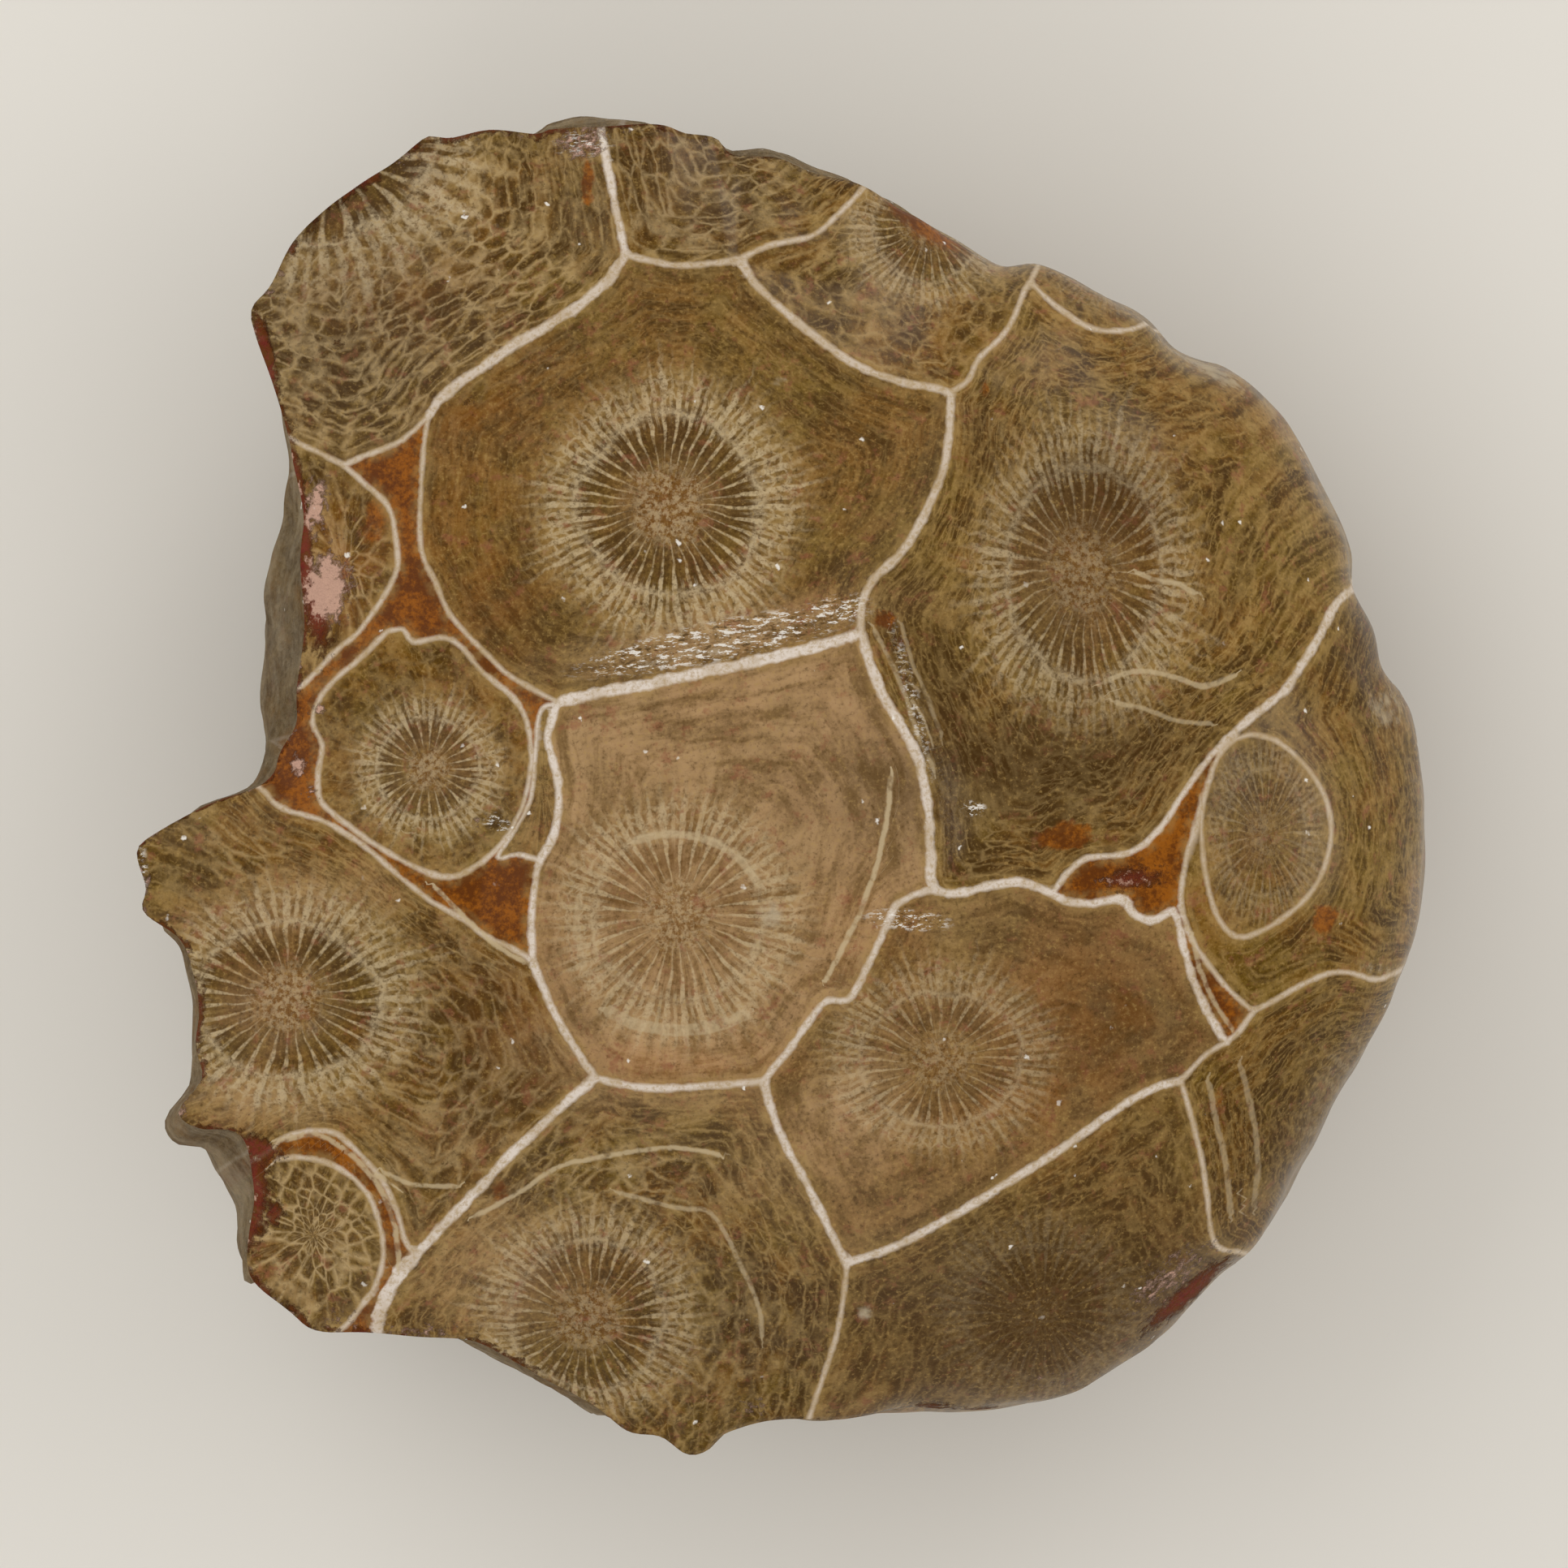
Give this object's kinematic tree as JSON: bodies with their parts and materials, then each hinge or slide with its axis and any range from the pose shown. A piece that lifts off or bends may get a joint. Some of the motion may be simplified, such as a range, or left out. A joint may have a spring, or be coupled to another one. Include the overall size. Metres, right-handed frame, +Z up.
{
  "type": "petoskey stone",
  "caption": "Pebble-sized piece of fossil colony coral with a polished domed face, shallow many-sided cells, broken and rounded sides and a small flat spot to rest on.",
  "frame": {"origin": "centre of the plan's bounding box, on the ground the stone rests on", "axes": "+Z up out of the polished face, +Y towards the top of the face as pictured, +X to its right"},
  "size_m": [0.0412, 0.043, 0.0213],
  "materials": {
    "polished_coral": "polished brown fossil limestone with pale cell walls; broken sides matt"
  },
  "bodies": {
    "root": {"petoskey_stone": "polished_coral"}
  },
  "joints": []
}
